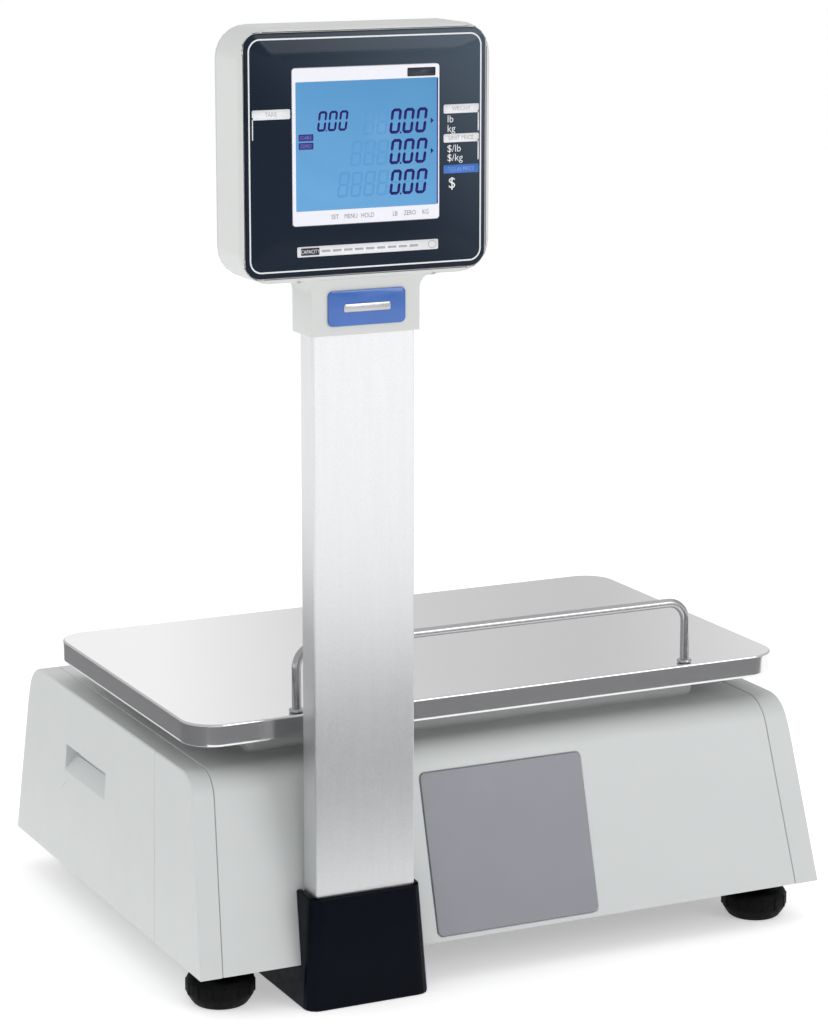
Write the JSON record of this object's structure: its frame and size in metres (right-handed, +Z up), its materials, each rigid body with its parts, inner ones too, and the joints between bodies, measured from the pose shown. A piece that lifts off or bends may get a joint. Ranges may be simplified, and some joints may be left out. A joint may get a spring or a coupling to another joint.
{
  "type": "retail price scale",
  "caption": "Retail price-computing scale: flat body with steel platter and guard rail, keypad, label printer behind a side door, and a customer display on a pole.",
  "frame": {"origin": "on the floor plane under the middle of the whole scale's bounding box", "axes": "+X to the right as the customer sees it, +Y from the customer side towards the operator, +Z up"},
  "size_m": [0.41, 0.3335, 0.5572],
  "materials": {
    "case_grey": "moulded, fine satin grain",
    "plate_grey": "satin",
    "black_plastic": "satin, blue-black",
    "black_rubber": "matte",
    "stainless": "polished stainless steel",
    "pole_aluminium": "fine bead-blasted and anodised",
    "cast_aluminium": "as cast and machined",
    "zinc_steel": "zinc plated sheet and turned steel",
    "navy_window": "glossy, printed from behind",
    "clear_window": "clear",
    "lcd": "backlit blue",
    "board": "solder mask",
    "badge_blue": "glossy, blank",
    "key_grey": "moulded",
    "key_overlay": "printed film",
    "paper": "thermal label paper",
    "gear_white": "moulded acetal",
    "level_glass": "clear, green liquid"
  },
  "bodies": {
    "base": {"base_tray": "black_plastic", "upper_case": "case_grey", "right_side_cover": "case_grey", "printer_side_cover": "case_grey", "rear_blanking_plate": "plate_grey", "operator_panel": "case_grey", "preset_key_sheet": "key_overlay", "key_board": "board", "operator_lcd": "lcd", "operator_window": "clear_window", "tear_bar": "black_plastic", "bubble_level": "level_glass", "mains_inlet": "black_plastic", "socket_plate": "zinc_steel", "main_board": "board", "power_supply": "zinc_steel", "load_cell": "cast_aluminium", "load_cell_mount": "zinc_steel", "printer_frame": "zinc_steel", "stepper_motor": "zinc_steel", "pole_bracket": "zinc_steel", "pole_tube": "pole_aluminium", "pole_boot": "black_plastic", "pole_screw_1": "zinc_steel", "pole_screw_2": "zinc_steel", "pole_cable": "black_rubber", "display_front_case": "case_grey", "display_rear_case": "case_grey", "display_window": "navy_window", "customer_lcd": "lcd", "display_board": "board", "badge": "badge_blue"},
    "platform": {"platform": "cast_aluminium"},
    "platter": {"platter": "stainless", "guard_rail": "stainless"},
    "power_rocker": {"power_rocker": "black_plastic"},
    "thermal_head": {"thermal_head": "zinc_steel"},
    "head_lever": {"head_lever": "badge_blue"},
    "platen_roller": {"platen_roller": "black_rubber"},
    "motor_pinion": {"motor_pinion": "gear_white"},
    "label_roll": {"label_roll": "paper"},
    "take_up_spool": {"take_up_spool": "black_plastic"},
    "printer_door": {"printer_door": "case_grey"},
    "foot_rear_left": {"foot_rear_left": "black_rubber"},
    "foot_front_left": {"foot_front_left": "black_rubber"},
    "foot_rear_right": {"foot_rear_right": "black_rubber"},
    "foot_front_right": {"foot_front_right": "black_rubber"},
    "key_7": {"key_7": "key_grey"},
    "key_8": {"key_8": "key_grey"},
    "key_9": {"key_9": "key_grey"},
    "key_4": {"key_4": "key_grey"},
    "key_5": {"key_5": "key_grey"},
    "key_6": {"key_6": "key_grey"},
    "key_1": {"key_1": "key_grey"},
    "key_2": {"key_2": "key_grey"},
    "key_3": {"key_3": "key_grey"},
    "key_clear": {"key_clear": "key_grey"},
    "key_0": {"key_0": "key_grey"},
    "key_print": {"key_print": "key_grey"}
  },
  "joints": [
    {"name": "weighing_travel", "type": "slide", "parent": "base", "child": "platform", "axis": [0, 0, 1], "range_m": [-0.0003, 0], "stiffness_N_per_m": 100000, "springref_m": 0.0002},
    {"name": "platter_lift", "type": "slide", "parent": "platform", "child": "platter", "axis": [0, 0, 1], "range_m": [0, 0.06]},
    {"name": "printer_door_hinge", "type": "hinge", "parent": "base", "child": "printer_door", "pos_m": [-0.2015, 0.04, 0.0285], "axis": [0, -1, 0], "range_deg": [0, 90]},
    {"name": "label_roll_spin", "type": "hinge", "parent": "base", "child": "label_roll", "pos_m": [-0.149, -0.002, 0.0765], "axis": [1, 0, 0], "continuous": true},
    {"name": "platen_spin", "type": "hinge", "parent": "base", "child": "platen_roller", "pos_m": [-0.149, 0.14, 0.0655], "axis": [1, 0, 0], "continuous": true},
    {"name": "pinion_spin", "type": "hinge", "parent": "base", "child": "motor_pinion", "pos_m": [-0.108, 0.13048, 0.05565], "axis": [1, 0, 0], "continuous": true},
    {"name": "take_up_spin", "type": "hinge", "parent": "base", "child": "take_up_spool", "pos_m": [-0.149, 0.078, 0.052], "axis": [1, 0, 0], "continuous": true},
    {"name": "head_lever_turn", "type": "hinge", "parent": "base", "child": "head_lever", "pos_m": [-0.1805, 0.118, 0.099], "axis": [-1, 0, 0], "range_deg": [0, 55]},
    {"name": "thermal_head_lift", "type": "hinge", "parent": "base", "child": "thermal_head", "pos_m": [-0.149, 0.112, 0.092], "axis": [1, 0, 0], "range_deg": [0, 11]},
    {"name": "power_rocker_turn", "type": "hinge", "parent": "base", "child": "power_rocker", "pos_m": [0.20269, -0.08, 0.05491], "axis": [0, 1, 0], "range_deg": [0, 14]},
    {"name": "foot_rear_left_turn", "type": "hinge", "parent": "base", "child": "foot_rear_left", "pos_m": [-0.182, -0.125, 0.0225], "axis": [0, 0, 1], "continuous": true},
    {"name": "foot_front_left_turn", "type": "hinge", "parent": "base", "child": "foot_front_left", "pos_m": [-0.145, 0.118, 0.0225], "axis": [0, 0, 1], "continuous": true},
    {"name": "foot_rear_right_turn", "type": "hinge", "parent": "base", "child": "foot_rear_right", "pos_m": [0.1745, -0.127, 0.0225], "axis": [0, 0, 1], "continuous": true},
    {"name": "foot_front_right_turn", "type": "hinge", "parent": "base", "child": "foot_front_right", "pos_m": [0.145, 0.118, 0.0225], "axis": [0, 0, 1], "continuous": true},
    {"name": "key_7_press", "type": "slide", "parent": "base", "child": "key_7", "axis": [0, 0.9942, 0.1075], "range_m": [-0.0015, 0], "stiffness_N_per_m": 300, "springref_m": 0.001},
    {"name": "key_8_press", "type": "slide", "parent": "base", "child": "key_8", "axis": [0, 0.9942, 0.1075], "range_m": [-0.0015, 0], "stiffness_N_per_m": 300, "springref_m": 0.001},
    {"name": "key_9_press", "type": "slide", "parent": "base", "child": "key_9", "axis": [0, 0.9942, 0.1075], "range_m": [-0.0015, 0], "stiffness_N_per_m": 300, "springref_m": 0.001},
    {"name": "key_4_press", "type": "slide", "parent": "base", "child": "key_4", "axis": [0, 0.9942, 0.1075], "range_m": [-0.0015, 0], "stiffness_N_per_m": 300, "springref_m": 0.001},
    {"name": "key_5_press", "type": "slide", "parent": "base", "child": "key_5", "axis": [0, 0.9942, 0.1075], "range_m": [-0.0015, 0], "stiffness_N_per_m": 300, "springref_m": 0.001},
    {"name": "key_6_press", "type": "slide", "parent": "base", "child": "key_6", "axis": [0, 0.9942, 0.1075], "range_m": [-0.0015, 0], "stiffness_N_per_m": 300, "springref_m": 0.001},
    {"name": "key_1_press", "type": "slide", "parent": "base", "child": "key_1", "axis": [0, 0.9942, 0.1075], "range_m": [-0.0015, 0], "stiffness_N_per_m": 300, "springref_m": 0.001},
    {"name": "key_2_press", "type": "slide", "parent": "base", "child": "key_2", "axis": [0, 0.9942, 0.1075], "range_m": [-0.0015, 0], "stiffness_N_per_m": 300, "springref_m": 0.001},
    {"name": "key_3_press", "type": "slide", "parent": "base", "child": "key_3", "axis": [0, 0.9942, 0.1075], "range_m": [-0.0015, 0], "stiffness_N_per_m": 300, "springref_m": 0.001},
    {"name": "key_clear_press", "type": "slide", "parent": "base", "child": "key_clear", "axis": [0, 0.9942, 0.1075], "range_m": [-0.0015, 0], "stiffness_N_per_m": 300, "springref_m": 0.001},
    {"name": "key_0_press", "type": "slide", "parent": "base", "child": "key_0", "axis": [0, 0.9942, 0.1075], "range_m": [-0.0015, 0], "stiffness_N_per_m": 300, "springref_m": 0.001},
    {"name": "key_print_press", "type": "slide", "parent": "base", "child": "key_print", "axis": [0, 0.9942, 0.1075], "range_m": [-0.0015, 0], "stiffness_N_per_m": 300, "springref_m": 0.001}
  ],
  "couplings": [
    {"joint": "platen_spin", "follows": "label_roll_spin", "ratio": 6.6154},
    {"joint": "pinion_spin", "follows": "label_roll_spin", "ratio": -15.877},
    {"joint": "take_up_spin", "follows": "label_roll_spin", "ratio": 4.3},
    {"joint": "head_lever_turn", "follows": "thermal_head_lift", "ratio": 5}
  ]
}
